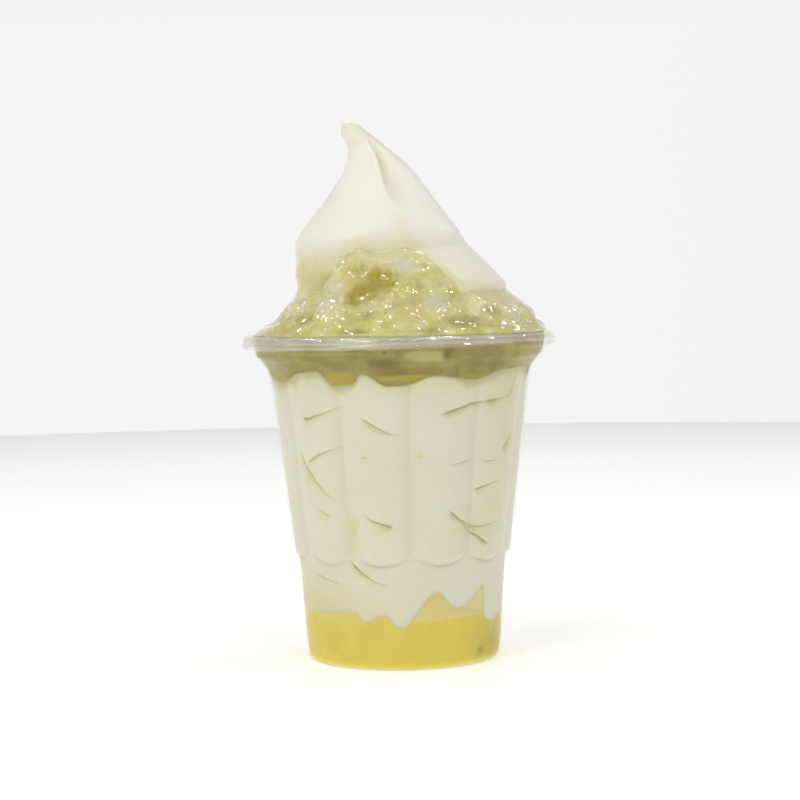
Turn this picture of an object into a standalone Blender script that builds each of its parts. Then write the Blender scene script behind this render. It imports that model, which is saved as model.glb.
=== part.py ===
"""Coconut sundae: soft serve ice cream in a clear fluted cup, coconut jam heaped round its swirl,
coconut puree under it.

Metres, +Z up. The origin is the middle of the cup's foot, on the surface that it stands on.
The front of the sundae is -Y and its right side is +X.
"""

import math
import random

import bmesh
import bpy
from mathutils import Quaternion, Vector, noise

MM = 0.001
SEGMENTS = 44  # round every turned form: four to each flute
GAP = 0.35 * MM  # clearance between pieces that touch

# The cup, a clear plastic one with a 92 mm rim.
RIM_RADIUS = 46.0 * MM
RIM_HEIGHT = 95.4 * MM
WALL = 0.8 * MM
FLUTES = 11
FLUTE_DEPTH = 1.1 * MM
FIRST_CREASE = math.radians(-85)  # the crease just right of the front
FOOT_OUTLINE = [  # radius and height in mm
    (0, 1.2), (21, 1.2), (23.5, 0), (27.3, 0), (28.5, 0.6), (28.9, 1.8), (29, 4),
]
FOOT_FLOOR = 2  # the outline's last point that only has the cup's floor over it
FOOT_BEND = 5  # its first point over the bend
CONE_BOTTOM = (29.0 * MM, 4 * MM)
CONE_TOP = (30.75 * MM, 28 * MM)
CREASE_TOP = (36.8 * MM, 80 * MM)
FLUTE_FOOT = 30.0 * MM  # where a flute ends at its middle
FLUTE_FOOT_RISE = 3.0 * MM  # how much higher it ends at its creases
FLUTE_STEP = [(-0.8, 0), (0.3, 0.5), (2, 1)]  # mm above its foot, share of its depth
FLUTE_TOP = 79.0 * MM
COLLAR_OUTLINE = [
    (38.3, 82.6), (39.1, 85.2), (40.3, 86.8), (41.1, 88), (42, 88.5), (42.5, 89.6), (42.9, 91.3),
]
LIP_OUTLINE = [  # from the rim's radius and height, inwards and down
    (-1.2, -4), (-0.3, -3.6), (0, -2.9), (0, -1.5), (-0.5, -0.5), (-1.5, 0), (-2.5, 0), (-3.2, -0.5),
]

# The coconut puree at the bottom. Its edge at the wall is (degrees from the front, height in mm), low where
# tongues of ice cream hang into it and high where it has crept up between them.
PUREE_EDGE = [
    (-57, 15.8), (-28, 16.7), (-22.5, 14.2), (-11, 16.2), (-2, 12.3), (19, 22.4), (30, 17.5), (35, 17.6),
    (50, 23), (54, 13), (60, 12), (84, 16.5), (97, 13.4), (112, 19.5), (121, 16.2), (137, 12.4),
    (157, 20.5), (166, 15.6), (180, 14), (196, 17.2), (207, 12), (226, 20), (236, 15.2), (251, 16.6),
    (262, 13.8), (284, 14.8),
]
PUREE_MIDDLE = 16.0 * MM
PUREE_TOP_SHARES = (1.0, 0.9, 0.7, 0.4)  # of its radius. It grows level from the first to the last

# The soft serve, up to the edge of the jam, which is given as the puree's is. There it draws in under it.
JAM_EDGE = [
    (-46, 85.4), (-37, 85.7), (-29, 81.7), (-21, 82.2), (-16, 85.1), (-5, 81.6), (1, 81.6), (15, 84.3),
    (34, 82.9), (50, 85.5), (66, 86), (80, 83.2), (95, 85.5), (110, 82), (126, 85), (141, 82.6),
    (156, 85.6), (170, 82.4), (186, 85.2), (203, 81.8), (220, 85), (238, 82.6), (256, 85.4), (278, 83.6),
    (297, 82.2),
]
SHOULDER = (1.0 * MM, 0.8 * MM)  # inwards, upwards
# Its swirl. Each station has a height, how far the middle leans to the right, and a radius, in mm.
SWIRL_STATIONS = [
    (88.5, 0, 35.6), (96, 0, 34.8), (103, 0.8, 33), (109.4, 1.2, 30.7), (113, -0.7, 29.5),
    (120, -3.9, 26.2), (124, -5, 24.3), (130.6, -5.1, 19.3), (137.7, -4.9, 13.8), (144.8, -5.7, 9.1),
    (150.2, -8.5, 5.7), (154.2, -11.8, 4.1), (156.6, -13.4, 2.6),
]
SWIRL_TIP = Vector((-13.9, 0, 157.6)) * MM
# The groove between the swirl's turns, from under the last fold downwards. Each station has a number of
# turns, counted from the right side by way of the front, then a height, a depth and a half width in mm.
GROOVE = [
    (-0.75, 132.5, 0, 5), (-0.5, 130.5, 0.4, 5), (-0.25, 127, 2.4, 5), (0, 121.8, 0.7, 5),
    (0.1, 120.6, 0.6, 5), (0.25, 119.2, 2.4, 8), (0.37, 117, 1.4, 4.5), (0.5, 116.5, 0.6, 4),
    (0.75, 112.5, 2.8, 5), (1, 105.2, 1.8, 5), (1.25, 101.5, 1.8, 5), (1.5, 98, 1.2, 5), (1.75, 95, 1.6, 5),
    (2, 92, 1, 5),
]
# The last fold: heights in mm, and degrees from the front.
FOLD = [(153.5, 34), (150.5, 17), (146.5, 9), (141, 8), (137, 11), (131, 20)]
FOLD_WIDTH = 30  # degrees, on the right of its crease
FOLD_DEPTH = 2.0 * MM
RING_STEP = 2.6 * MM

# The coconut jam. Radius of its mound at a height, in mm, where nothing holds it up but the ice cream.
MOUND_OUTLINE = [
    (96.1, 43.1), (97.2, 41.8), (99.1, 39.6), (100.9, 37.9), (102.7, 36.2), (104.5, 34.5), (106.2, 32.5),
    (110, 27),
]
MOUND_LEAN = 0.7 * MM  # it reaches further out on the right
JAM_TUCK = 1.5 * MM  # how far its edge is tucked under, where the ice cream then cuts it off
JAM_SIDE_TOP = 94.0 * MM
JAM_BRIM = (42.45 * MM, 95.3 * MM)  # where it starts to spread over the lip
JAM_THICKNESS = 3.0 * MM
JAM_FADE = 4.0 * MM  # height over which the jam thins out to nothing
# How high it reaches round the swirl: highest in front, where it was spooned on.
JAM_TOP = [
    (-61, 105.7), (-44, 111), (-24, 119.2), (-15, 120), (-3, 118.6), (19, 120), (26, 118.5), (36, 108.4),
    (46, 107), (62, 104.5), (85, 106.2), (110, 104), (135, 106.8), (165, 104.5), (195, 107), (225, 104.6),
    (255, 106.8), (280, 104.8),
]
JAM_LUMPS = 1.2 * MM
LUMP_SIZE = 6.0 * MM
LUMPS_START = (96 * MM, 99 * MM)  # the lumps grow over these heights, so that the jam lies evenly on the lip
JAM_SLOPE = 0.3  # how far its surface faces up, for each part that it faces out

# The pieces of coconut in the jam.
PIECE_SIZE = (4.8 * MM, 4.0 * MM, 3.0 * MM)  # half sizes
PIECE_GROWTH = (0.8, 1.15)
PIECE_BEVEL = 1.4 * MM
PIECE_SLOPE = 0.5  # how far they face up, for each part that they face out
PIECE_SINK = (2.2 * MM, 3.0 * MM)
PIECE_LEVELS = [101.5 * MM, 107.5 * MM, 113 * MM, 118 * MM]
PIECE_SPACING = 11.5 * MM
PIECE_SCATTER = 0.25  # of their spacing
PIECE_LIFT = 1.2 * MM  # up or down from their level
PIECE_COVER = 2.0 * MM  # how far the jam reaches over the level of a row that has pieces there

# Colours, linear.
CLEAR = (0.93, 0.95, 0.93)
PUREE_YELLOW = (0.67, 0.53, 0.13)
CREAM_WHITE = (0.86, 0.83, 0.72)
JAM_OLIVE = (0.62, 0.56, 0.22)


def clear_scene():
    for obj in list(bpy.data.objects):
        bpy.data.objects.remove(obj)


def mm(pairs):
    return [tuple(value * MM for value in pair) for pair in pairs]


def smoothstep(low, high, value):
    share = min(1.0, max(0.0, (value - low) / (high - low)))
    return share * share * (3 - 2 * share)


def on_line(start, end, height):
    """Radius at a height on the straight line through two (radius, height) points."""
    share = (height - start[1]) / (end[1] - start[1])
    return start[0] + share * (end[0] - start[0])


def curve_at(stations, key):
    """The values at key on a smooth curve through stations, each of them (key, value, ...)."""
    last = len(stations) - 1
    at = next((i for i in range(last) if key <= stations[i + 1][0]), last - 1)
    before, low, high, after = (stations[min(last, max(0, at + step))] for step in (-1, 0, 1, 2))
    span = high[0] - low[0]
    t = min(1.0, max(0.0, (key - low[0]) / span))
    values = []
    for a, b, c, d in zip(before[1:], low[1:], high[1:], after[1:]):
        slope_low = (c - a) * span / max(high[0] - before[0], span)
        slope_high = (d - b) * span / max(after[0] - low[0], span)
        values.append(
            (2 * t**3 - 3 * t**2 + 1) * b
            + (t**3 - 2 * t**2 + t) * slope_low
            + (3 * t**2 - 2 * t**3) * c
            + (t**3 - t**2) * slope_high
        )
    return values


def angles():
    return [FIRST_CREASE + 2 * math.pi * i / SEGMENTS for i in range(SEGMENTS)]


def from_front(angle):
    """Degrees from the front, -180 to 180, positive towards the right."""
    return (math.degrees(angle) + 90 + 180) % 360 - 180


def eased(edge, angle):
    """Height of an edge that is level at each of its (degrees from the front, height) points."""
    degrees = (from_front(angle) - edge[0][0]) % 360 + edge[0][0]
    for low, high in zip(edge, edge[1:] + [(edge[0][0] + 360, edge[0][1])]):
        if degrees <= high[0]:
            break
    return (low[1] + smoothstep(low[0], high[0], degrees) * (high[1] - low[1])) * MM


def point(angle, radius, height, middle=(0.0, 0.0)):
    return Vector((middle[0] + radius * math.cos(angle), middle[1] + radius * math.sin(angle), height))


def loft(name, rings, start, end):
    """A closed mesh object: rings of points, joined in order, with a fan from the start and end points."""
    mesh = bmesh.new()
    made = [[mesh.verts.new(p) for p in ring] for ring in rings]
    for low, high in zip(made, made[1:]):
        for i, (a, b) in enumerate(zip(low, high)):
            c, d = high[(i + 1) % len(low)], low[(i + 1) % len(low)]
            if (a.co - c.co).length < (b.co - d.co).length:
                mesh.faces.new((a, d, c))
                mesh.faces.new((a, c, b))
            else:
                mesh.faces.new((a, d, b))
                mesh.faces.new((d, c, b))
    for tip, ring in ((start, made[0]), (end, made[-1])):
        pole = mesh.verts.new(tip)
        for i, vertex in enumerate(ring):
            mesh.faces.new((vertex, ring[(i + 1) % len(ring)], pole))
    bmesh.ops.recalc_face_normals(mesh, faces=mesh.faces)
    data = bpy.data.meshes.new(name)
    mesh.to_mesh(data)
    mesh.free()
    data.shade_smooth()
    obj = bpy.data.objects.new(name, data)
    bpy.context.scene.collection.objects.link(obj)
    return obj


def set_material(obj, colour, roughness, transmission=0.0):
    material = bpy.data.materials.new(obj.name)
    material.use_nodes = True
    shader = material.node_tree.nodes["Principled BSDF"]
    shader.inputs["Base Color"].default_value = (*colour, 1)
    shader.inputs["Roughness"].default_value = roughness
    shader.inputs["Metallic"].default_value = 0
    shader.inputs["Transmission Weight"].default_value = transmission
    obj.data.materials.clear()
    obj.data.materials.append(material)


# Cup


def bulge_share(angle):
    """1 on a flute's middle line and 0 in the creases on either side of it."""
    across = ((angle - FIRST_CREASE) / (2 * math.pi) * FLUTES) % 1
    return 1 - (2 * across - 1) ** 2


def outer_column(angle):
    """(radius, height) points up the outside of the cup, from the middle of its foot to under its lip."""
    bulge = bulge_share(angle)
    foot = FLUTE_FOOT + FLUTE_FOOT_RISE * (1 - bulge)
    column = mm(FOOT_OUTLINE)
    for height, share in [(foot + rise * MM, share) for rise, share in FLUTE_STEP] + [(FLUTE_TOP, 1)]:
        line = (CONE_BOTTOM, CONE_TOP) if height < CONE_TOP[1] else (CONE_TOP, CREASE_TOP)
        column.append((on_line(*line, height) + share * bulge * FLUTE_DEPTH, height))
    return column + mm(COLLAR_OUTLINE)


def inner_column(angle):
    """The outer column moved inwards by the wall's thickness."""
    outer = outer_column(angle)
    inner = [(0.0, outer[0][1] + WALL)]
    for before, here, after in zip(outer, outer[1:], outer[2:] + [(outer[-1][0], outer[-1][1] + WALL)]):
        along = Vector((after[0] - before[0], after[1] - before[1])).normalized()
        inner.append((here[0] - along.y * WALL, here[1] + along.x * WALL))
    return inner


def cavity_radius(angle, height, clearance=GAP):
    """How far out a filling reaches at this height, clear of the wall above the bend at the cup's foot."""
    column = inner_column(angle)[FOOT_BEND:]
    for low, high in zip(column, column[1:]):
        if height <= high[1]:
            break
    return on_line(low, high, height) - clearance


def make_cup():
    around = angles()
    outer = [outer_column(angle) for angle in around]
    inner = [inner_column(angle) for angle in around]
    lip = [(RIM_RADIUS + x, RIM_HEIGHT + z) for x, z in mm(LIP_OUTLINE)]
    profiles = [column[1:] + lip + lining[:0:-1] for column, lining in zip(outer, inner)]
    rings = [
        [point(angle, *profile[k]) for angle, profile in zip(around, profiles)]
        for k in range(len(profiles[0]))
    ]
    cup = loft("cup", rings, point(0, *outer[0][0]), point(0, *inner[0][0]))
    cup.data.set_sharp_from_angle(angle=math.radians(40))
    set_material(cup, CLEAR, 0.06, transmission=0.9)
    return cup


# Fillings


def puree_top_rings():
    """The surface between puree and ice cream, from the wall inwards, where it grows level."""
    rings = []
    for share in PUREE_TOP_SHARES:
        edge_share = smoothstep(PUREE_TOP_SHARES[-1], PUREE_TOP_SHARES[0], share)
        ring = []
        for angle in angles():
            edge = eased(PUREE_EDGE, angle)
            radius = share * cavity_radius(angle, edge)
            ring.append(point(angle, radius, PUREE_MIDDLE + edge_share * (edge - PUREE_MIDDLE)))
        rings.append(ring)
    return rings


def raised(rings, rise):
    return [[p + Vector((0, 0, rise)) for p in ring] for ring in rings]


def make_puree():
    floor = []
    for k in range(1, len(FOOT_OUTLINE)):
        ring = []
        for angle in angles():
            radius, height = inner_column(angle)[k]
            clearance = GAP if k > FOOT_FLOOR else 0
            ring.append(point(angle, radius - clearance, height + GAP))
        floor.append(ring)
    middle = Vector((0, 0, FOOT_OUTLINE[0][1] * MM + WALL + GAP))
    top = Vector((0, 0, PUREE_MIDDLE - GAP / 2))
    puree = loft("coconut_puree", floor + raised(puree_top_rings(), -GAP / 2), middle, top)
    set_material(puree, PUREE_YELLOW, 0.35)
    return puree


def swirl_middle(height):
    return (curve_at(mm(SWIRL_STATIONS), height)[0], 0.0)


def ring_heights():
    """Evenly spaced heights up the swirl."""
    low, top = SWIRL_STATIONS[0][0] * MM, SWIRL_STATIONS[-1][0] * MM
    count = round((top - low) / RING_STEP)
    return [low + (top - low) * i / count for i in range(count + 1)]


def groove_relief(angle, height):
    """How far the groove between the swirl's turns cuts in: its two sides are round and meet in a crease."""
    turns = (90 - from_front(angle)) / 360 % 1
    relief = 0.0
    for turn in (turns - 1, turns, turns + 1):
        if GROOVE[0][0] <= turn <= GROOVE[-1][0]:
            middle, depth, width = (value * MM for value in curve_at(GROOVE, turn))
            away = min(1.0, abs(height - middle) / width)
            relief = max(relief, depth * (1 - math.sqrt(1 - (1 - away) ** 2)))
    return relief


def fold_relief(angle, height):
    """How far the last fold cuts in: steeply at its crease, and easing out to the right of it."""
    low, top = FOLD[-1][0] * MM, FOLD[0][0] * MM
    if not low < height < top:
        return 0.0
    crease = curve_at([(h * MM, degrees) for h, degrees in reversed(FOLD)], height)[0]
    across = (from_front(angle) - crease) / FOLD_WIDTH
    ends = math.sin(math.pi * (height - low) / (top - low))
    return FOLD_DEPTH * ends * smoothstep(-0.25, 0.1, across) * (1 - smoothstep(0.1, 1, across))


def swirl_radius(angle, height):
    radius = curve_at(mm(SWIRL_STATIONS), height)[1]
    return radius - groove_relief(angle, height) - fold_relief(angle, height)


def ice_cream_rings():
    around = angles()
    rings = raised(reversed(puree_top_rings()), GAP / 2)
    for k in range(len(FOOT_OUTLINE), len(FOOT_OUTLINE) + len(FLUTE_STEP) + 1):
        heights = [inner_column(angle)[k][1] for angle in around]
        rings.append([point(a, cavity_radius(a, h), h) for a, h in zip(around, heights)])
    edges = [eased(JAM_EDGE, angle) for angle in around]
    rings.append([point(a, cavity_radius(a, h), h) for a, h in zip(around, edges)])
    inwards, up = SHOULDER
    rings.append([point(a, cavity_radius(a, h) - inwards, h + up) for a, h in zip(around, edges)])
    for height in ring_heights():
        middle = swirl_middle(height)
        rings.append([point(a, swirl_radius(a, height), height, middle) for a in around])
    return rings


def make_ice_cream():
    bottom = Vector((0, 0, PUREE_MIDDLE + GAP / 2))
    ice_cream = loft("ice_cream", ice_cream_rings(), bottom, SWIRL_TIP)
    set_material(ice_cream, CREAM_WHITE, 0.45)
    return ice_cream


# Jam


def jam_cover(angle, height):
    """1 where the jam is thick, 0 at its top edge, and -1 well above it."""
    return max(-1.0, min(1.0, (eased(JAM_TOP, angle) - height) / JAM_FADE))


def jam_radius(angle, height):
    """Radius of the jam's outside about the swirl's middle. Above its edge this is inside the ice cream."""
    radius = swirl_radius(angle, height) + JAM_THICKNESS * jam_cover(angle, height)
    if height < MOUND_OUTLINE[-1][0] * MM:
        mound = curve_at(mm(MOUND_OUTLINE), height)[0] + MOUND_LEAN * math.cos(angle)
        radius = max(radius, mound)
    return radius


def jam_surface_point(angle, height):
    surface = point(angle, jam_radius(angle, height), height, swirl_middle(height))
    lumps = noise.noise(surface / LUMP_SIZE) * JAM_LUMPS * smoothstep(0, 0.6, jam_cover(angle, height))
    lumps *= smoothstep(*LUMPS_START, height)
    return surface + Vector((math.cos(angle), math.sin(angle), JAM_SLOPE)) * lumps


def jam_rings():
    around = angles()
    edges = [eased(JAM_EDGE, a) for a in around]
    rings = [[point(a, cavity_radius(a, e) - JAM_TUCK, e - JAM_TUCK) for a, e in zip(around, edges)]]
    collar = [height * MM for _, height in COLLAR_OUTLINE if height * MM > max(edges)] + [JAM_SIDE_TOP]
    for share in (0, 0.5):
        heights = [e + share * (collar[0] - e) for e in edges]
        rings.append([point(a, cavity_radius(a, h), h) for a, h in zip(around, heights)])
    for height in collar:
        rings.append([point(a, cavity_radius(a, height), height) for a in around])
    rings.append([point(a, *JAM_BRIM) for a in around])
    first, last = MOUND_OUTLINE[0][0] * MM, max(height for _, height in JAM_TOP) * MM + JAM_FADE
    for height in [first] + [h for h in ring_heights() if first + RING_STEP / 2 < h < last]:
        rings.append([jam_surface_point(a, height) for a in around])
    return rings


def coconut_piece(name, spot, outward, rng):
    """A soft-cornered block of coconut that lies on a slope facing outward, turned at random on it."""
    mesh = bmesh.new()
    bmesh.ops.create_cube(mesh, size=2)
    growth = rng.uniform(*PIECE_GROWTH)
    for vertex in mesh.verts:
        vertex.co = Vector(size * axis * growth for size, axis in zip(PIECE_SIZE, vertex.co))
    bmesh.ops.bevel(mesh, geom=list(mesh.edges), offset=PIECE_BEVEL, segments=1, affect="EDGES")
    data = bpy.data.meshes.new(name)
    mesh.to_mesh(data)
    mesh.free()
    piece = bpy.data.objects.new(name, data)
    piece.rotation_mode = "QUATERNION"
    turn = Quaternion((0, 0, 1), rng.uniform(0, math.pi))
    piece.rotation_quaternion = outward.to_track_quat("Z", "Y") @ turn
    piece.location = spot
    return piece


def apply_modifiers(obj):
    """Makes the object's evaluated mesh its own."""
    graph = bpy.context.evaluated_depsgraph_get()
    data = bpy.data.meshes.new_from_object(obj.evaluated_get(graph))
    obj.modifiers.clear()
    obj.data = data


def piece_spots(rng):
    """Angles and heights in staggered rows round the mound, with more rows where the jam reaches higher."""
    for row, height in enumerate(PIECE_LEVELS):
        count = round(2 * math.pi * jam_radius(0, height) / PIECE_SPACING)
        for i in range(count):
            scatter = rng.uniform(-PIECE_SCATTER, PIECE_SCATTER)
            angle = 2 * math.pi * (i + 0.5 * (row % 2) + scatter) / count
            lift = rng.uniform(-PIECE_LIFT, PIECE_LIFT)
            if eased(JAM_TOP, angle) > height + PIECE_COVER:
                yield angle, height + lift


def add_coconut_pieces(jam):
    """Fuses pieces of coconut to the jam, more than half sunk in it."""
    rng = random.Random(7)
    pieces = bpy.data.collections.new("coconut pieces")
    bpy.context.scene.collection.children.link(pieces)
    for angle, height in piece_spots(rng):
        outward = Vector((math.cos(angle), math.sin(angle), PIECE_SLOPE)).normalized()
        spot = jam_surface_point(angle, height) - outward * rng.uniform(*PIECE_SINK)
        pieces.objects.link(coconut_piece("piece", spot, outward, rng))
    union = jam.modifiers.new("pieces", "BOOLEAN")
    union.operation = "UNION"
    union.operand_type = "COLLECTION"
    union.collection = pieces
    apply_modifiers(jam)
    for piece in list(pieces.objects):
        bpy.data.objects.remove(piece)
    bpy.data.collections.remove(pieces)


def make_clearance(ice_cream):
    """A copy of the ice cream that stands a gap further out, to cut the jam by."""
    cutter = bpy.data.objects.new("ice_cream_clearance", ice_cream.data.copy())
    bpy.context.scene.collection.objects.link(cutter)
    cutter.hide_render = True
    cutter.display_type = "WIRE"
    swell = cutter.modifiers.new("swell", "DISPLACE")
    swell.strength = GAP
    swell.mid_level = 0
    return cutter


def make_jam(ice_cream):
    rings = jam_rings()
    bottom, top = (sum(ring, Vector()) / len(ring) for ring in (rings[0], rings[-1]))
    jam = loft("coconut_jam", rings, bottom, top)
    add_coconut_pieces(jam)
    cut = jam.modifiers.new("ice cream", "BOOLEAN")
    cut.operation = "DIFFERENCE"
    cut.object = make_clearance(ice_cream)
    set_material(jam, JAM_OLIVE, 0.18)
    return jam


def main():
    clear_scene()
    make_cup()
    make_puree()
    ice_cream = make_ice_cream()
    make_jam(ice_cream)


main()
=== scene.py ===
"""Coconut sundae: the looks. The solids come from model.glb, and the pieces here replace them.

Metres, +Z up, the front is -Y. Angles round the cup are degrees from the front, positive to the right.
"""

import math
import random

import bpy
import numpy as np
from mathutils import Matrix, Quaternion, Vector, noise


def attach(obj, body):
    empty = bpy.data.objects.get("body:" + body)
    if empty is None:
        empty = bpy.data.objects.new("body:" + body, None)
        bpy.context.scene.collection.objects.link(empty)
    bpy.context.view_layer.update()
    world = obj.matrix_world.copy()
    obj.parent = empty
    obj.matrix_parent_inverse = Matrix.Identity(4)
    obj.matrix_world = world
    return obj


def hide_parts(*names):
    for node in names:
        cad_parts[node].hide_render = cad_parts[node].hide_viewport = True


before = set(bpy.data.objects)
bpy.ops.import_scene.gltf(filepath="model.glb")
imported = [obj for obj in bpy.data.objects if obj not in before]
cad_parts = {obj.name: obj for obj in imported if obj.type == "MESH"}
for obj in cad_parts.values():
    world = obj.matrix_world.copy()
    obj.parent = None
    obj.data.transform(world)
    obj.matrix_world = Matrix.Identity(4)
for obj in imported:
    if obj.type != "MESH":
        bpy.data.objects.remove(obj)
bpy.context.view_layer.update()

MM = 0.001

# The forms of the solids. Outlines of the cup are (radius, height) in mm, and edges at its wall are (degrees,
# height in mm).
RIM_RADIUS = 46 * MM
RIM_HEIGHT = 95.4 * MM
WALL = 0.8 * MM
FLUTES = 11
FLUTE_DEPTH = 1.1 * MM
FIRST_CREASE = 5  # the crease just right of the front
FOOT_OUTLINE = [(0, 1.2), (21, 1.2), (23.5, 0), (27.3, 0), (28.5, 0.6), (28.9, 1.8), (29, 4)]
FOOT_BEND = 5  # its first point above the bend
CONE_TOP = (30.75 * MM, 28 * MM)
CREASE_TOP = (36.8 * MM, 80 * MM)
FLUTE_FOOT = 30 * MM
FLUTE_FOOT_RISE = 3 * MM
# (mm above a flute's foot, share of its depth).
FLUTE_STEP = [(-0.5, 0), (0, 0.1), (0.5, 0.62), (1.1, 0.94), (1.8, 1)]
FLUTE_TOP = 79 * MM
COLLAR_OUTLINE = [
    (38.3, 82.6), (39.1, 85.2), (40.3, 86.8), (41.1, 88), (42, 88.5), (42.5, 89.6), (42.9, 91.3),
]
# From the rim's radius and height, in mm.
LIP_OUTLINE = [
    (-1.2, -4), (-0.3, -3.6), (0, -3.1), (-0.05, -2.5), (-0.3, -2.2), (-0.1, -1.9), (-0.1, -1.2),
    (-0.5, -0.5), (-1.5, 0), (-2.5, 0), (-3.2, -0.5),
]
PUREE_EDGE = [
    (-57, 15.8), (-28, 16.7), (-22.5, 14.2), (-11, 16.2), (-2, 12.3), (19, 22.4), (30, 17.5), (35, 17.6),
    (50, 23), (54, 13), (60, 12), (84, 16.5), (97, 13.4), (112, 19.5), (121, 16.2), (137, 12.4),
    (157, 20.5), (166, 15.6), (180, 14), (196, 17.2), (207, 12), (226, 20), (236, 15.2), (251, 16.6),
    (262, 13.8), (284, 14.8),
]
PUREE_MIDDLE = 16 * MM
BODY_TOP = 88 * MM  # where the ice cream in the cup closes, inside the swirl
PUREE_LOW = 4 * MM  # where its wall starts, above the bend of the foot
PUREE_LINE = 14.6 * MM  # how full it stands. Above this it has only crept up the wall
NOT_CREPT = (-42, 34)  # except here: the middle and the half width in degrees
JAM_EDGE = [
    (-46, 85.4), (-37, 85.7), (-29, 81.7), (-21, 82.2), (-16, 85.1), (-5, 81.6), (1, 81.6), (15, 84.3),
    (34, 82.9), (50, 85.5), (66, 86), (80, 83.2), (95, 85.5), (110, 82), (126, 85), (141, 82.6),
    (156, 85.6), (170, 82.4), (186, 85.2), (203, 81.8), (220, 85), (238, 82.6), (256, 85.4), (278, 83.6),
    (297, 82.2),
]
# (height, how far right its middle is, radius), in mm.
SWIRL_STATIONS = [
    (88.5, 0, 35.6), (96, 0, 34.8), (103, 0.8, 33), (109.4, 1.2, 30.7), (113, -0.7, 29.5),
    (120, -3.9, 26.2), (124, -5, 24.3), (130.6, -5.1, 19.3), (137.7, -4.9, 13.8), (144.8, -5.7, 9.1),
    (150.2, -8.5, 5.7), (154.2, -11.8, 4.1), (156.6, -13.4, 2.6),
]
SWIRL_TIP = Vector((-13.9, 0, 157.6)) * MM
# (turns from the right side by way of the front, and the height, depth and half width in mm).
GROOVE = [
    (-0.75, 132.5, 0, 5), (-0.5, 130.5, 0.4, 5), (-0.25, 127, 2.4, 5), (0, 121.8, 0.7, 5),
    (0.1, 120.6, 0.6, 5), (0.25, 119.2, 2.4, 8), (0.37, 117, 1.4, 4.5), (0.5, 116.5, 0.6, 4),
    (0.75, 112.5, 2.8, 5), (1, 105.2, 1.8, 5), (1.25, 101.5, 1.8, 5), (1.5, 98, 1.2, 5), (1.75, 95, 1.6, 5),
    (2, 92, 1, 5),
]
GROOVE_CREASE = 0.4  # the rest of its depth is a soft dip
FOLD = [(153.5, 34), (150.5, 17), (146.5, 9), (141, 8), (137, 11), (131, 20)]  # (height in mm, degrees)
FOLD_WIDTH = 30  # degrees
FOLD_DEPTH = 2.2 * MM
FOLD_RIDGE = 0.6 * MM
# (height, radius), in mm.
MOUND_OUTLINE = [
    (96.1, 43.1), (97.2, 41.8), (99.1, 39.6), (100.9, 37.9), (102.7, 36.2), (104.5, 34.5), (106.2, 32.5),
    (110, 27),
]
MOUND_LEAN = 0.7 * MM
MOUND_MIDDLE = 110 * MM  # where the heap closes, inside the ice cream
JAM_SIDE_TOP = 94 * MM
JAM_BRIM = (42.45 * MM, 95.3 * MM)
JAM_ON_LIP = (43.2 * MM, 95.5 * MM)
JAM_THICKNESS = 3 * MM
JAM_FADE = 4 * MM
JAM_EDGE_POWER = 2.2  # over 1, so that the jam meets the ice cream softly
JAM_TOP = [
    (-61, 105.7), (-44, 111), (-24, 119.2), (-15, 120), (-3, 118.6), (19, 120), (26, 118.5), (36, 108.4),
    (46, 107), (62, 104.5), (85, 106.2), (110, 104), (135, 106.8), (165, 104.5), (195, 107), (225, 104.6),
    (255, 106.8), (280, 104.8),
]
JAM_LUMPS = 1.2 * MM
LUMP_RISE = 0.3  # how steeply the lumps and the pieces stand out
SOAK_HEIGHT = 5 * MM  # how far over the jam its syrup has soaked in
PIECE_SIZE = (4.8 * MM, 4 * MM, 3 * MM)
PIECE_LEVELS = [101.5 * MM, 107.5 * MM, 113 * MM, 118 * MM]
PIECE_SPACING = 11.5 * MM
PIECE_SQUARENESS = 2.8
PIECE_REACH = 9 * MM
NO_PIECE = -MM  # the rise where there is none

# How finely the pieces here are made.
CUP_COLUMNS = 32 * FLUTES
BODY_COLUMNS = 560
BODY_ROWS = 172
LEVEL_PART = 0.2  # of the way up the body, until its rows are level
PUREE_ROWS = 60
SWIRL_COLUMNS = 360
SWIRL_ROWS = 230
JAM_COLUMNS = 560
COLLAR_ROWS = 44
JAM_ROWS = 120
EDGE_LOOP = 0.05 * MM  # how near a sharp edge the next ring lies
REACH = 0.3 * MM  # how far a filling reaches into the wall, so that no air shows between them

MM_PER_DEGREE = 0.6  # along the wall
# Share of painted shade, with a slight dent, that the ice cream gets just left of each crease between flutes.
FLUTE_SHADE = 0.35  # of the ice cream just left of each crease between flutes
# The lip's haze is thicker on the front left and reaches lower on the left: painted light from the left.
HAZE_DROP = (3.1 * MM, 0.7 * MM)  # how far under the rim the lip's haze ends, and how much less on its right
HAZE_EDGE = 0.6 * MM
HAZE_SHARE = (0.72, 0.28)  # its mean, and how much more of it the side at HAZE_SIDE has
HAZE_SIDE = -65  # degrees

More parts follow.
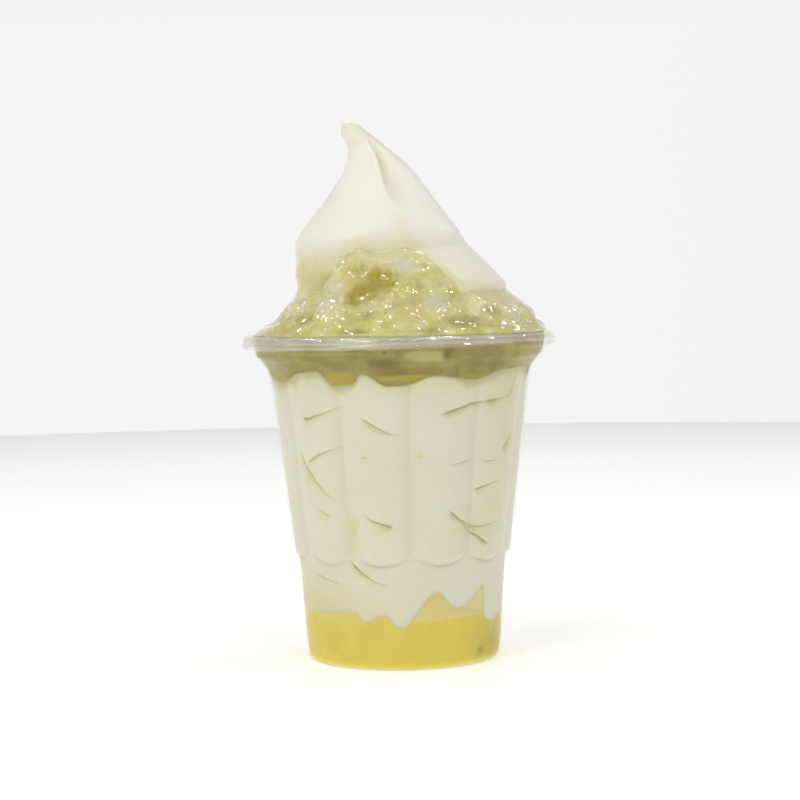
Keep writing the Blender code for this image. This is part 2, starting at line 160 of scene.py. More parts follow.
# Creases in the ice cream at the wall: (width mm, depth mm, strength 0 to 1, [(degrees, height mm), ...]).
# Each is deepest near its first point.
CREASES = [
    (1, 0.4, 0.95, [(-50.5, 72.2), (-45.5, 72.4), (-36, 74), (-26.5, 76.2)]),
    (1, 0.45, 1, [(-56.5, 63), (-52.5, 59), (-45, 54), (-39.5, 51), (-33, 48.4)]),
    (0.8, 0.3, 0.7, [(-50.5, 59.3), (-42, 62), (-34.5, 63.5), (-27.5, 64.7)]),
    (1.1, 0.25, 0.6, [(-38.5, 44.4), (-43, 45.6), (-48.5, 47.2)]),
    (1, 0.4, 0.7, [(-18, 72.8), (-11, 70), (-5, 68.2), (1, 67.8)]),
    (1.1, 0.4, 1, [(-4.2, 41.4), (-9, 42.4), (-15, 43.5), (-19.5, 45.6)]),
    (1.2, 0.45, 1, [(17.5, 73.2), (26, 74.7), (34, 76.2), (42, 76.5), (52, 77)]),
    (1.5, 0.4, 1, [(41, 76.6), (48, 76.8), (55, 77.2)]),
    (1, 0.5, 1, [(61.5, 84), (60.5, 80), (57, 77.6), (50, 76.9)]),
    (3, 0.3, 0.6, [(55.5, 61.8), (60, 64), (66, 67.5)]),
    (0.7, 0.2, 0.6, [(35, 60), (26, 59), (22, 59)]),
    (0.7, 0.2, 0.6, [(42, 59.2), (50, 59.3), (57, 59.8)]),
    (0.9, 0.35, 1, [(38.5, 51.4), (46, 52.3), (58, 53.8)]),
    (1, 0.45, 0.9, [(23.5, 46), (29.5, 43.3), (35, 41.8), (41, 40.9)]),
    (0.8, 0.35, 0.8, [(36, 41), (44, 40.5), (52, 41), (62, 42.4)]),
    (1, 0.4, 1, [(51, 34.9), (43, 37.6), (35.5, 40), (29, 43)]),
    (1, 0.4, 1, [(-29.5, 31.8), (-22, 28), (-16, 26), (-6, 24.4)]),
    (1.3, 0.25, 0.35, [(-57, 27), (-42.5, 25.4), (-31, 23.8)]),
    (1, 0.15, 0.7, [(-18.6, 61.7), (-17, 61.5), (-15, 61.3)]),
]
# Puree seen through thin ice cream: (degrees, height mm, half width degrees, half height mm, strength).
FLUSHES = [
    (-50.5, 55.2, 3, 2, 0.9), (-25.5, 41.5, 2.6, 3.6, 0.8), (-26, 37, 2, 3.6, 0.4),
    (-17, 61.5, 1.6, 0.7, 0.5), (9, 61.8, 1.6, 0.8, 1), (45, 75.9, 4, 1.3, 1),
    (-9.5, 41.2, 4.2, 1, 0.8), (36, 40.8, 7, 1.6, 0.9), (46, 38.4, 7, 1.8, 0.5),
    (-62, 17.5, 40, 4.4, 0.9), (-62, 23, 26, 4, 0.35), (-20, 28, 4, 1.4, 0.6), (80, 18, 12, 3, 0.6),
    (48, 45, 9, 3, 0.25), (61, 64.8, 4.5, 2.4, 0.8), (57, 80, 12, 7, 0.65), (60, 58, 14, 18, 0.35),
    (120, 50, 3, 2, 0.8), (150, 35, 5, 2, 0.7), (-140, 60, 4, 2, 0.8), (-110, 40, 3, 3, 0.8),
    (-165, 30, 8, 3, 0.6), (175, 68, 3, 2, 0.8),
]
BACK_CREASES = 26
BACK_STEPS = (-0.5, 0, 0.5)
BACK_START, BACK_SPAN = 95, 172  # degrees
BACK_HEIGHTS = (27, 77)  # mm
# How many widths it takes the ice cream over and under a crease to come out again.
CREASE_BROW, CREASE_SHELF = 0.25, 1.7
FAR = 9.0  # widths, where no crease is near
# Syrup that has run over the swirl, given as the flushes are.
SYRUP = [
    (-62, 110, 30, 7.5, 1.5), (60, 104, 30, 4, 0.5), (48, 111, 26, 9, 0.3), (18, 126.5, 8, 4, 0.3),
    (130, 108, 30, 5, 0.6), (-150, 110, 40, 5, 0.7),
]
# Where a thin film of it is olive, on the ice cream and on the jam's edge alike.
FILM = [
    (-41, 111, 9, 3.6, 0.8), (-54, 108, 9, 3, 0.6), (-30, 116, 6, 2, 0.35), (20, 108.5, 5, 2, 0.3),
    (110, 106, 12, 3, 0.5), (-150, 108, 14, 3, 0.5),
]
# In the jam, given as the flushes are: the deep place in front, the place round it where no piece of coconut
# comes up, where smooth syrup has gathered, and how many mm leaner it is on its left side.
# The deep place's darker colour is painted shade.
HOLLOW = [
    (-6.8, 111.5, 7.2, 3.4, 1), (-13.5, 109.2, 8.5, 3.4, 0.85), (-20.5, 106.8, 7, 2.8, 0.85),
    (-24, 105.6, 5, 2.2, 0.6),
]
SUNK = [(-8, 112, 12, 5, 1), (-17, 110, 11, 6, 1)]
SYRUP_POOL = [
    (4, 102, 7.5, 3.6, 1), (-6, 105, 6, 2.4, 0.8), (8, 106.4, 5, 2.6, 0.7), (-100, 101, 9, 3, 0.8),
    (150, 101, 9, 3, 0.8),
]
LEAN_SIDE = [(-88, 102.8, 30, 4.5, 2.2)]
LOW_EDGE = (30.5, 5, 6.5 * MM)  # where its thin upper edge ends lower: middle, half width and drop
# Olive places in it, given as the flushes are.
OLIVES = [
    (-18, 114.2, 8, 3, 0.45), (-12, 111, 16, 6, 0.3), (27, 107.6, 6, 1.8, 0.45), (-22, 100.2, 8, 2.2, 0.4),
    (43, 97.5, 7, 1.3, 0.4), (-42, 110, 5, 3, 0.35), (-47, 99.5, 7, 3, 0.35), (9, 108.6, 6, 1.6, 0.3),
    (95, 104, 9, 2.6, 0.4), (128, 98.5, 9, 2, 0.4), (160, 104, 8, 2.4, 0.4), (-170, 98.5, 9, 2, 0.4),
    (-138, 104, 8, 2.6, 0.4), (-105, 98.5, 9, 2, 0.4),
]
# Golden, brown and cloudy places in the jam behind the cup's collar, given as the flushes are.
COLLAR_GOLDS = [
    (-26.5, 82.8, 8.5, 2.9, 1), (-1, 84.6, 10.5, 1.9, 1), (9, 85.3, 10.5, 1.4, 0.9),
    (34, 83.7, 8.5, 0.8, 0.6), (55, 90.8, 10, 1.5, 0.4), (-63, 83, 5, 2, 0.7), (-50, 89.5, 9, 0.7, 0.3),
    (95, 84.5, 8, 2, 0.8), (130, 86, 7, 2, 0.6), (160, 84, 9, 2.4, 0.9), (-95, 84, 8, 2, 0.9),
    (-130, 85.5, 6, 2, 0.7), (-160, 84, 7, 2.4, 0.9),
]
COLLAR_BROWNS = [
    (-5.8, 88.2, 7.2, 1.4, 1), (-4.5, 85.8, 6, 1.5, 0.75), (9, 85.7, 11, 1.2, 0.7),
    (-5.2, 90.8, 0.7, 0.5, 1), (19, 90.3, 2, 1.5, 0.9), (-0.3, 90.4, 2, 1, 0.4), (40, 88, 10, 2.2, 0.5),
    (110, 86.5, 5, 1.6, 0.7), (-110, 88, 6, 1.6, 0.6), (185, 88, 7, 1.6, 0.7),
]
COLLAR_CLOUDS = [
    (10, 90, 8, 1.8, 1), (-32, 90.8, 22, 0.6, 0.35), (60, 87.5, 9, 0.8, 0.4), (145, 89, 9, 1.6, 0.7),
    (-140, 89.5, 9, 1.4, 0.7),
]
# Darker places low in the puree, given as the flushes are: those on its right are painted shade.
PUREE_DARKS_AND_SHADES = [(50.6, 4.2, 2.6, 0.9, 0.8), (64, 6, 18, 7, 0.6), (-150, 6, 8, 2, 0.5)]
PUREE_PALES = [(61, 10.4, 3, 1.4, 0.8), (68, 8, 3, 2.4, 0.4), (47, 19, 6, 4, 0.9), (-40, 15, 30, 1.6, 0.3)]
# Where cloudy coconut (+) or brownish jam (-) shows on the mound, given as the flushes are.
MOUND_PATCHES = [
    (7, 115.9, 7, 2.8, 1), (-37, 104.8, 6.5, 2.6, 0.9), (-33, 107.6, 2.5, 1.6, 0.4),
    (16, 104.6, 6.5, 2.3, 1), (58, 101.5, 12, 2.6, 0.5), (26, 99.2, 9, 1.9, -0.9),
    (-14, 101.2, 3.4, 1.2, -0.9), (-18.5, 96.8, 6, 0.9, -0.9), (42.5, 102.2, 6, 1.5, -0.8),
    (-45, 101, 5, 2, -0.5), (11.7, 96.8, 5, 0.9, -0.7), (100, 102, 9, 2.6, 0.8), (140, 100, 10, 2, -0.8),
    (175, 103, 9, 2.8, 0.9), (-150, 99.5, 10, 2, -0.8), (-110, 103, 9, 2.6, 0.8), (-75, 101, 8, 2, -0.5),
    (75, 99, 8, 1.8, -0.6), (-175, 99, 8, 1.8, -0.6),
]

# Colours, linear.
# The ice cream in the cup is darker and warmer than on the swirl (CREAM_TOP): painted shade, for the less
# light it gets behind the plastic.
CREAM = (0.83, 0.795, 0.65)
CREAM_WARM = (0.81, 0.765, 0.605)
# The olive of puree stains, also used for painted shade by the creases and the flutes.
CREAM_STAIN_AND_SHADE = (0.40, 0.34, 0.11)
CREAM_FLUSH = (0.75, 0.69, 0.36)
CREAM_SOAKED = (0.78, 0.73, 0.42)
CREAM_TOP = (0.86, 0.84, 0.76)
CREAM_TOP_WARM = (0.85, 0.82, 0.72)
# Painted shade in the swirl's groove, under its last fold and towards its tip.
CREAM_HOLLOW_SHADE = (0.72, 0.66, 0.47)
FILM_COLOUR = (0.52, 0.49, 0.17)
SYRUP_COLOUR = (0.72, 0.62, 0.30)
PUREE = (0.83, 0.67, 0.095)
PUREE_DEEP = (0.77, 0.61, 0.085)
PUREE_PULP = (0.82, 0.70, 0.16)
PUREE_SMEAR = (0.78, 0.64, 0.25)
PUREE_PALE = (0.80, 0.73, 0.38)
PUREE_DARK_AND_SHADE = (0.46, 0.37, 0.05)
# A painted glow along the bottom rim, standing in for light through the cup's foot.
PUREE_RIM_LIGHT = (0.90, 0.80, 0.12)
JAM = (0.665, 0.60, 0.20)
JAM_PALE = (0.72, 0.68, 0.38)
JAM_POOL = (0.63, 0.54, 0.23)
JAM_OLIVE = (0.51, 0.45, 0.11)
# Painted shade in the jam's hollow and between its lumps, and its own olive tone in places.
JAM_DEEP_AND_SHADE = (0.42, 0.34, 0.055)
# The jam behind the collar, in these and JAM_GOLD: darker than the heap's colours, as painted shade under the
# rim.
JAM_SIDE = (0.30, 0.245, 0.045)
JAM_SIDE_LIGHT = (0.40, 0.34, 0.09)
JAM_GOLD = (0.49, 0.385, 0.045)
JAM_SIDE_CLOUDY = (0.55, 0.48, 0.20)
JAM_SIDE_BROWN = (0.215, 0.16, 0.03)
JAM_BROWN = (0.36, 0.30, 0.11)
JAM_THIN = (0.76, 0.715, 0.41)
COCONUT = (0.69, 0.66, 0.45)
COCONUT_STAINED = (0.69, 0.62, 0.27)
COCONUT_CLOUDY = (0.64, 0.63, 0.50)
PLASTIC = (0.95, 0.955, 0.94)
PLASTIC_HAZE = (0.78, 0.75, 0.66)

# Lights. Powers are in watts.
KEY_POWER = 4.5
KEY_SIZE = 1
KEY_COLOUR = (1, 0.98, 0.95)
KEY_SPOT = (-0.85, -1.15, 1.35)
KEY_AIM = (0, 0, 0.08)
LAMP_POWER = 0.6
LAMP_SIZE = 0.07
LAMPS = 20
LAMP_RISES = [36, 52, 70]  # how high each stands, in degrees
LAMP_TURN = 137.5  # degrees from one to the next, which spreads them evenly
LAMP_START = -25  # degrees
LAMP_DISTANCE = 1.15
LAMP_AIM = (0, 0, 0.1)
HORIZON_LIGHT = 0.97
ZENITH_LIGHT = 0.1
DIMMING = (0.12, 0.6)  # how far up a direction points where it starts and ends
SIDE_LIGHT = (0.98, 0.9)  # share of it from the left and from the right
SIDE_DIM = 0.72  # and how much of that the two sides keep
FLOOR_RADIUS = 1
FLOOR_GLOW = 0.33
FLOOR_COLOURS = [(0.83, 0.83, 0.82), (0.86, 0.86, 0.85)]

# The view of the photo.
CAMERA_SPOT = (0, -0.611, 0.11)
CAMERA_LENS = 93.2
CAMERA_SENSOR = 36
CAMERA_TILT = -3.22  # degrees
CAMERA_ROLL = -0.99


# Shapes, as arrays: a grid has a row for each ring and a column for each direction.


def smoothstep(low, high, value):
    share = np.clip((value - low) / (high - low), 0, 1)
    return share * share * (3 - 2 * share)


def hump(away, half, power=2):
    """1 where away is 0, and about a third where it is half, with steeper flanks at a higher power."""
    return np.exp(-(np.abs(away / half) ** power))


def around(count):
    """Evenly spaced directions, in degrees from the front."""
    return np.arange(count) * 360 / count


def turned(degrees):
    """The same directions between -180 and 180."""
    return (np.asarray(degrees) + 180) % 360 - 180


def between(low, high, rows):
    """Rows of values from low to high, one or both of them given for each column."""
    share = np.linspace(0, 1, rows)[:, None]
    return low + share * (high - low)


def levelled(low, high, rows, part):
    """The same, with rows that are level except in the first and the last part of the way."""
    share = np.linspace(0, 1, rows)[:, None]
    level = low.mean() + share * (high.mean() - low.mean())
    bottom, top = (1 - share / part).clip(0, 1), (1 - (1 - share) / part).clip(0, 1)
    return level + bottom * (low - low.mean()) + top * (high - high.mean())


def place(degrees, radius, height, middle=0.0):
    """Points at a radius and a height, round an upright axis that is moved to the right by middle."""
    x = middle + radius * np.sin(np.radians(degrees))
    y = -radius * np.cos(np.radians(degrees))
    return np.stack(np.broadcast_arrays(x, y, height), axis=-1)


def curve_at(stations, keys):
    """The values at keys on a smooth curve through stations, each of them (key, value, ...)."""
    table = np.array(stations, dtype=float)
    knots, values = table[:, 0], table[:, 1:]
    last = len(knots) - 1
    low = np.clip(np.searchsorted(knots, keys) - 1, 0, last - 1)
    before, high, after = np.maximum(low - 1, 0), low + 1, np.minimum(low + 2, last)
    span = knots[high] - knots[low]
    t = np.clip((keys - knots[low]) / span, 0, 1)[..., None]

    def slope(first, second):
        wide = np.maximum(knots[second] - knots[first], span)
        return (values[second] - values[first]) * (span / wide)[..., None]

    return (
        (2 * t**3 - 3 * t**2 + 1) * values[low]
        + (t**3 - 2 * t**2 + t) * slope(before, high)
        + (3 * t**2 - 2 * t**3) * values[high]
        + (t**3 - t**2) * slope(low, after)
    )


def eased(edge, degrees):
    """Heights of an edge that is level at each of its (degrees, height in mm) points."""
    start = edge[0][0]
    knots, heights = np.array(edge + [(start + 360, edge[0][1])], dtype=float).T
    at = (degrees - start) % 360 + start
    low = np.clip(np.searchsorted(knots, at, side="right") - 1, 0, len(knots) - 2)
    share = smoothstep(knots[low], knots[low + 1], at)
    return (heights[low] + share * (heights[low + 1] - heights[low])) * MM


def sampled(points, size, seed, sample):
    """What sample gives at each point, with features of this size in mm."""
    flat = (points / (size * MM) + seed).reshape(-1, 3).tolist()
    values = np.array([sample(point) for point in flat])
    return values.reshape(*points.shape[:-1], *values.shape[1:])


def noise_at(points, size, seed=0):
    """Smooth noise between about -1 and 1, with lumps of this size in mm."""
    return sampled(points, size, seed, noise.noise)


def pebbles_at(points, size, seed=0):
    """0 to 1 on rounded lumps of this size in mm that lie side by side, with creases between them."""
    near = sampled(points, size, seed, lambda point: noise.voronoi(point)[0][:2])
    share = np.clip((near[..., 1] - near[..., 0]) / 0.6, 0, 1)
    return share * (2 - share)


def new_object(name, data):
    obj = bpy.data.objects.new(name, data)
    bpy.context.scene.collection.objects.link(obj)
    return obj


def extended(fields, before, after):
    """Fields for a grid with so many more rings before and after theirs."""
    return {name: np.pad(field, ((before, after), (0, 0)), "edge") for name, field in fields.items()}


def grid_piece(name, rings, start, end, **fields):
    """A closed mesh object of rings with a fan from each end point. Each field becomes a point attribute."""
    rows, count = rings.shape[:2]
    here = np.arange(rows * count).reshape(rows, count)
    beside = np.roll(here, -1, axis=1)
    faces = np.stack([here[:-1], beside[:-1], beside[1:], here[1:]], axis=-1).reshape(-1, 4).tolist()
    first, last = rows * count, rows * count + 1
    faces += [(b, a, first) for a, b in zip(here[0].tolist(), beside[0].tolist())]
    faces += [(a, b, last) for a, b in zip(here[-1].tolist(), beside[-1].tolist())]
    mesh = bpy.data.meshes.new(name)
    mesh.from_pydata(rings.reshape(-1, 3).tolist() + [list(start), list(end)], [], faces)
    mesh.shade_smooth()
    for field, values in fields.items():
        attribute = mesh.attributes.new(field, "FLOAT", "POINT")
        attribute.data.foreach_set("value", np.append(np.broadcast_to(values, (rows, count)).ravel(), [0, 0]))
    return new_object(name, mesh)


# Cup


def flute_across(degrees):
    """0 to 1 across the flute that lies in each direction."""
    return ((degrees - FIRST_CREASE) / 360 * FLUTES) % 1


def flute_bulge(degrees):
    """1 in the middle of each flute and 0 at the creases between them."""
    return 1 - (2 * flute_across(degrees) - 1) ** 2


def flute_foot(degrees):
    """The height at which each flute starts, which is lowest in its middle."""
    return FLUTE_FOOT + FLUTE_FOOT_RISE * (1 - flute_bulge(degrees))


def outer_columns(degrees):
    """Radius and height up the outside of the cup, from the middle of its foot to under its lip."""
    foot, depth = flute_foot(degrees), flute_bulge(degrees) * FLUTE_DEPTH
    below, above = [
        [np.tile(np.array(pair) * MM, (len(degrees), 1)) for pair in outline]
        for outline in (FOOT_OUTLINE, COLLAR_OUTLINE)
    ]
    flute, steps = [], [(foot + rise * MM, share) for rise, share in FLUTE_STEP]
    for height, share in steps + [(FLUTE_TOP + 0 * foot, 1)]:
        cone = np.interp(height, [CONE_TOP[1], CREASE_TOP[1]], [CONE_TOP[0], CREASE_TOP[0]])
        flute.append(np.stack([cone + share * depth, height], axis=-1))
    return np.stack(below + flute + above, axis=1)


def inner_columns(outer):
    """The outer columns moved inwards by the wall's thickness."""
    along = np.gradient(outer, axis=1)
    along /= np.linalg.norm(along, axis=2, keepdims=True)
    return outer + WALL * np.stack([-along[..., 1], along[..., 0]], axis=-1)


def lip_columns(count):
    lip = np.array(LIP_OUTLINE) * MM + (RIM_RADIUS, RIM_HEIGHT)
    return np.tile(lip, (count, 1, 1))


def cut_corners(columns, rounds=2):
    """Rounds off the columns' corners."""
    for _ in range(rounds):
        low, high = columns[:, :-1], columns[:, 1:]
        cut = np.stack([0.75 * low + 0.25 * high, 0.25 * low + 0.75 * high], axis=2)
        cut = cut.reshape(len(columns), -1, 2)
        columns = np.concatenate([columns[:, :1], cut, columns[:, -1:]], axis=1)
    return columns


def lip_haze(degrees, height):
    """How much of its haze the plastic has: all of it on the rolled lip, and none below."""
    drop, less = HAZE_DROP
    mean, more = HAZE_SHARE
    # More haze on the front left, reaching lower on the left: painted light from the left.
    foot = RIM_HEIGHT - drop + less * np.sin(np.radians(degrees))
    share = mean + more * np.cos(np.radians(degrees - HAZE_SIDE))
    return share * smoothstep(foot - HAZE_EDGE, foot + HAZE_EDGE, height)


def make_cup():
    degrees = around(CUP_COLUMNS)
    outer = outer_columns(degrees)
    columns = np.concatenate([outer, lip_columns(len(degrees)), inner_columns(outer)[:, ::-1]], axis=1)
    columns = cut_corners(columns)
    radius, height = columns[:, 1:-1, 0].T, columns[:, 1:-1, 1].T
    start, end = (0, 0, columns[0, 0, 1]), (0, 0, columns[0, -1, 1])
    return grid_piece("clear_cup", place(degrees, radius, height), start, end, lip=lip_haze(degrees, height))


def wall_radius(degrees, heights):
    """How far out a filling reaches, at a grid of heights: just into the wall."""
    lining = inner_columns(outer_columns(degrees))[:, FOOT_BEND:]
    lining = cut_corners(np.concatenate([lining, lip_columns(len(degrees))[:, -1:]], axis=1))
    radii = [np.interp(column, line[:, 1], line[:, 0]) for column, line in zip(heights.T, lining)]
    return np.stack(radii, axis=1) + REACH


# Ice cream and puree


def line_distance(degrees, heights, line):
    """Distance in mm along the wall from a line of (degrees, height in mm) points, and 0 to 1 along it.

    The distance is positive above the line.
    """
    across, up = turned(degrees) * MM_PER_DEGREE, heights / MM
    points = np.array(line, dtype=float) * (MM_PER_DEGREE, 1)
    best, along = np.full(heights.shape, np.inf), np.zeros(heights.shape)
    for i, (a, b) in enumerate(zip(points, points[1:])):
        way = b - a
        share = np.clip(((across - a[0]) * way[0] + (up - a[1]) * way[1]) / (way @ way), 0, 1)
        away = np.hypot(across - a[0] - share * way[0], up - a[1] - share * way[1])
        side = np.sign(way[0]) * np.sign(way[0] * (up - a[1]) - way[1] * (across - a[0]))
        along = np.where(away < np.abs(best), (i + share) / (len(points) - 1), along)
        best = np.where(away < np.abs(best), np.where(side < 0, -away, away), best)
    return best, along


def back_creases():
    """Creases of the same kind round the sides and the back, which the photo doesn't show."""
    rng = random.Random(11)
    creases = []
    for i in range(BACK_CREASES):
        middle = BACK_START + BACK_SPAN * (i + rng.uniform(0, 1)) / BACK_CREASES
        height, length, slope = rng.uniform(*BACK_HEIGHTS), rng.uniform(8, 20), rng.uniform(-0.35, 0.35)
        ways = [length * step for step in BACK_STEPS]
        line = [(middle + way, height + way * slope + rng.uniform(-0.8, 0.8)) for way in ways]
        line = [(at if at < 180 else at - 360, up) for at, up in line]
        if abs(line[0][0] - line[-1][0]) < 180:
            creases.append((rng.uniform(0.8, 1.1), rng.uniform(0.2, 0.5), rng.uniform(0.5, 1), line))
    return creases


def crease_fields(degrees, heights):
    """How deep the creases cut in, the distance to the nearest, how strong that one is, and the flush.

    The distance is in widths of the crease, and positive above it.
    """
    relief, nearest, cut = np.zeros(heights.shape), np.full(heights.shape, FAR), np.zeros(heights.shape)
    flush = spots(degrees, heights, FLUSHES, 1)
    for width, depth, strength, line in CREASES + back_creases():
        distance, along = line_distance(degrees, heights, line)
        taper = smoothstep(-0.04, 0.16, along) * np.clip(1 - along, 0, 1) ** 0.6
        wide = width * (0.35 + 0.65 * taper)
        reach = wide * np.where(distance > 0, CREASE_BROW, CREASE_SHELF)
        relief = np.maximum(relief, depth * MM * taper * hump(distance, reach))
        flush = np.maximum(flush, 0.9 * strength * taper * hump(distance, 1.2 * reach))
        near = np.abs(distance) / wide
        cut = np.where(near < np.abs(nearest), strength * taper * smoothstep(2.6, 1.8, near), cut)
        nearest = np.where(near < np.abs(nearest), distance / wide, nearest)
    return relief, nearest, cut, flush


def spots(degrees, heights, places, sharpness=2, squareness=2):
    """A field of soft-edged spots, each (degrees, height in mm, half sizes in degrees and mm, strength).

    They are round for a squareness of 2, and their edges are softest for a sharpness of 1.
    """
    field = np.zeros(heights.shape)
    for at, height, across, up, strength in places:
        sideways, upwards = turned(degrees - at) / across, (heights / MM - height) / up
        away = np.abs(sideways) ** squareness + np.abs(upwards) ** squareness
        field += strength * hump(away, 1, sharpness)
    return field


def rounding(away, size):
    """How far an edge that is rounded off at this size has gone in, at a distance from it."""
    share = np.clip(1 - away / size, 0, 1)
    return size * (1 - np.sqrt(1 - share**2))


def flute_shades(degrees, heights, surface):
    """Where the ice cream lies back from the wall and gets painted shade: under the flutes' feet and beside
    their creases.
    """
    under = flute_bulge(degrees) * hump(heights - flute_foot(degrees), 0.6 * MM)
    under = under * (1 + 0.3 * noise_at(surface, 8, 3))
    beside = FLUTE_SHADE * hump(1 - flute_across(degrees), 0.14) * smoothstep(30 * MM, 34 * MM, heights)
    return np.maximum(under, beside)


def make_body():
    """The ice cream that fills the cup."""
    degrees = around(BODY_COLUMNS)
    low, top = eased(PUREE_EDGE, degrees), eased(JAM_EDGE, degrees)
    heights = levelled(low + EDGE_LOOP, top - EDGE_LOOP, BODY_ROWS, LEVEL_PART)
    wall = wall_radius(degrees, heights)
    surface = place(degrees, wall, heights)
    relief, crease, cut, flush = crease_fields(degrees, heights)
    shade = flute_shades(degrees, heights, surface)
    uneven = (1 + 0.6 * noise_at(surface, 5, 9)) * MM
    soft = 0.5 + 1.6 * smoothstep(12, 30, np.abs(turned(degrees - 3)))
    # Painted shade from the flutes, and the syrup's real stain just under the jam.
    stain_and_shade = np.maximum(0.3 * shade, 0.75 * hump(top - heights, soft * uneven))
    flush = np.maximum(flush, 0.6 * hump(top - heights, 3 * uneven))
    flush = np.maximum(flush, 0.4 * hump(heights - low, 0.8 * uneven))
    relief += 0.12 * MM * (1 + noise_at(surface, 9)) + 0.25 * MM * shade
    radii = wall - relief * smoothstep(0, 1.5 * MM, np.minimum(heights - low, top - heights))
    under = [place(degrees, radii[0] - 2 * MM, low + MM), place(degrees, radii[0] - EDGE_LOOP, low)]
    over = [place(degrees, radii[-1] - EDGE_LOOP, top), place(degrees, radii[-1] - MM, top + 0.8 * MM)]
    rings = np.concatenate([under, place(degrees, radii, heights), over, [place(degrees, 34 * MM, BODY_TOP)]])
    fields = {"crease": crease, "cut": cut, "stain_and_shade": stain_and_shade, "flush": flush}
    fields = extended(fields, len(under), len(rings) - len(under) - len(heights))
    return grid_piece("ice_cream_body", rings, (0, 0, PUREE_MIDDLE), (0, 0, BODY_TOP), **fields)


def puree_fields(degrees, rings, edge):
    """Where the puree is only smeared on, where it is pale or dark, and its lower rim, which gets a painted
    glow.
    """
    heights = rings[..., 2]
    up = heights + 0.4 * MM * noise_at(rings, 7)
    line = PUREE_LINE + 0.5 * MM * np.cos(np.radians(degrees))
    middle, half = NOT_CREPT
    crept = 1 - hump(turned(degrees - middle), half, 6)
    smear = crept * smoothstep(-0.6 * MM, 0.5 * MM, up - line)
    pale = 0.4 * hump(edge - heights, 0.9 * MM) * (1 - smear)
    pale = np.maximum(pale, 0.6 * crept * hump(up - line, 0.6 * MM))
    pale = np.maximum(pale, spots(degrees, heights, PUREE_PALES))
    # Painted shade low on its right, and a darker place at the back.
    dark = spots(degrees, heights, PUREE_DARKS_AND_SHADES, 1)
    return {"smear": smear, "pale": pale, "dark": dark, "rim": hump(heights - MM, 0.6 * MM)}


def make_puree():
    degrees = around(BODY_COLUMNS)
    edge = eased(PUREE_EDGE, degrees)
    heights = between(PUREE_LOW, edge + 1.5 * MM, PUREE_ROWS)
    wall = wall_radius(degrees, heights)
    behind = 0.05 * MM + 0.6 * MM * smoothstep(0.1 * MM, 0.6 * MM, heights - edge)
    foot = inner_columns(outer_columns(degrees))[:, :len(FOOT_OUTLINE)]
    foot = cut_corners(foot, 1)[:, 1:-1]
    floor = place(degrees, foot[..., 0].T, foot[..., 1].T - REACH)
    floor = floor[floor[:, 0, 2] < PUREE_LOW - MM]
    top = [place(degrees, wall[-1] - 4 * MM, edge + MM)]
    rings = np.concatenate([floor, place(degrees, wall - behind, heights), top])
    start, end = (0, 0, floor[0, 0, 2]), (0, 0, PUREE_MIDDLE)
    return grid_piece("coconut_puree_fill", rings, start, end, **puree_fields(degrees, rings, edge))


def groove_relief(degrees, heights):
    """How far the groove between the swirl's turns cuts in."""
    relief = np.zeros(heights.shape)
    for turn in [(90 - degrees) / 360 % 1 + shift for shift in (-1, 0, 1)]:
        middle, depth, width = np.moveaxis(curve_at(GROOVE, turn) * MM, -1, 0)
        away = np.minimum(1, np.abs(heights - middle) / width)
        crease, dip = 1 - np.sqrt(1 - (1 - away) ** 2), (1 - away**2) ** 2
        cut = depth * (GROOVE_CREASE * crease + (1 - GROOVE_CREASE) * dip)
        relief = np.where((turn >= GROOVE[0][0]) & (turn <= GROOVE[-1][0]), np.maximum(relief, cut), relief)
    return relief


def fold_relief(degrees, heights):
    """How far the last fold cuts in."""
    low, top = FOLD[-1][0] * MM, FOLD[0][0] * MM
    crease = curve_at(FOLD[::-1], heights / MM)[..., 0]
    across = (turned(degrees) - crease) / FOLD_WIDTH
    ends = np.sin(np.pi * np.clip((heights - low) / (top - low), 0, 1))
    dip = smoothstep(-0.2, 0.1, across) * (1 - smoothstep(0.1, 1, across))
    return ends * (FOLD_DEPTH * dip - FOLD_RIDGE * hump(across + 0.3, 0.16))


def swirl_middle(heights):
    return curve_at(SWIRL_STATIONS, heights / MM)[..., 0] * MM


def swirl_radius(degrees, heights):
    radius = curve_at(SWIRL_STATIONS, heights / MM)[..., 1] * MM
    radius = radius - groove_relief(degrees, heights) - fold_relief(degrees, heights)
    surface = place(degrees, radius, heights, swirl_middle(heights))
    soft = 0.35 * MM * noise_at(surface, 11) + 0.08 * MM * noise_at(surface, 3)
    return radius + soft * smoothstep(2 * MM, 12 * MM, radius)


def make_swirl():
    """The ice cream that stands above the cup."""
    degrees = around(SWIRL_COLUMNS)
    low, top = SWIRL_STATIONS[0][0] * MM, SWIRL_STATIONS[-1][0] * MM
    heights = between(low, np.full(len(degrees), top), SWIRL_ROWS)
    radii = swirl_radius(degrees, heights)
    rings = place(degrees, radii, heights, swirl_middle(heights))
    # Painted shade in the groove and under the fold, and a little towards the tip.
    shaded_hollow = 0.3 * groove_relief(degrees, heights) / MM + 0.7 * fold_relief(degrees, heights) / FOLD_DEPTH
    shaded_hollow = np.maximum(shaded_hollow, 0.4 * smoothstep(146 * MM, 157 * MM, heights))
    soaked = smoothstep(SOAK_HEIGHT, -MM, heights - eased(JAM_TOP, degrees))
    syrup = spots(degrees, heights, SYRUP, 1).clip(0, 1)
    film = spots(degrees, heights, FILM, 1).clip(0, 1)
    fields = {"shaded_hollow": np.clip(shaded_hollow, 0, 1), "syrup": syrup, "soaked": soaked, "film": film}
    return grid_piece("ice_cream_swirl", rings, (0, 0, low), SWIRL_TIP, **fields)


# Jam


